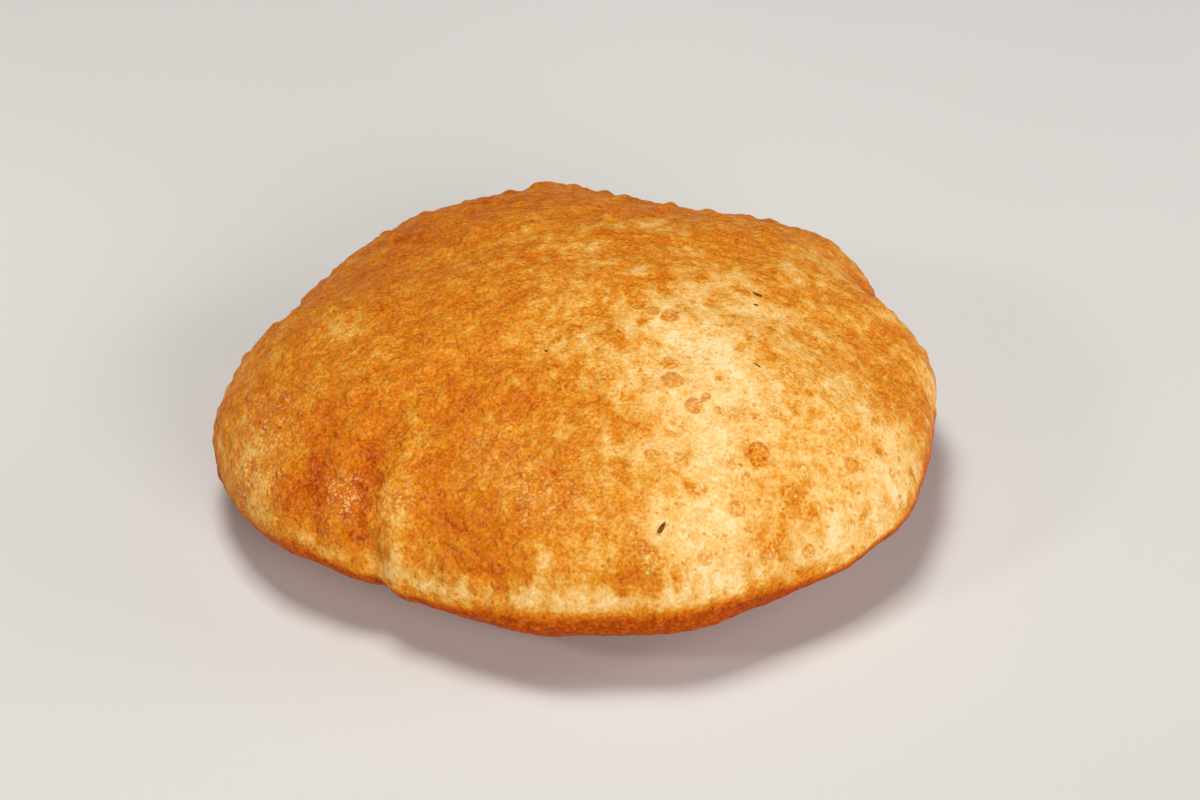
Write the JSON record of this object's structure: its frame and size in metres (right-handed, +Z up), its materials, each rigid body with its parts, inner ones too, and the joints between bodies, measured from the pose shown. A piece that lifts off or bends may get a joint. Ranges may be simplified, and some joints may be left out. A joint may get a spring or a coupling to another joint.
{
  "type": "puri",
  "caption": "Round puffed and fried flatbread with a low blistered crown, a rounded lobed rim notched by one fold, and a gently rounded underside with a flat resting spot.",
  "frame": {"origin": "middle of the flat spot that the puri rests on", "axes": "+Z up through the crown, -Y towards the front of the puri, +X to its right"},
  "size_m": [0.163, 0.1571, 0.0518],
  "materials": {
    "fried_crust": "satin, golden brown fried dough, paler at the front right, with a faint oily sheen"
  },
  "bodies": {
    "root": {"puri": "fried_crust"}
  },
  "joints": []
}
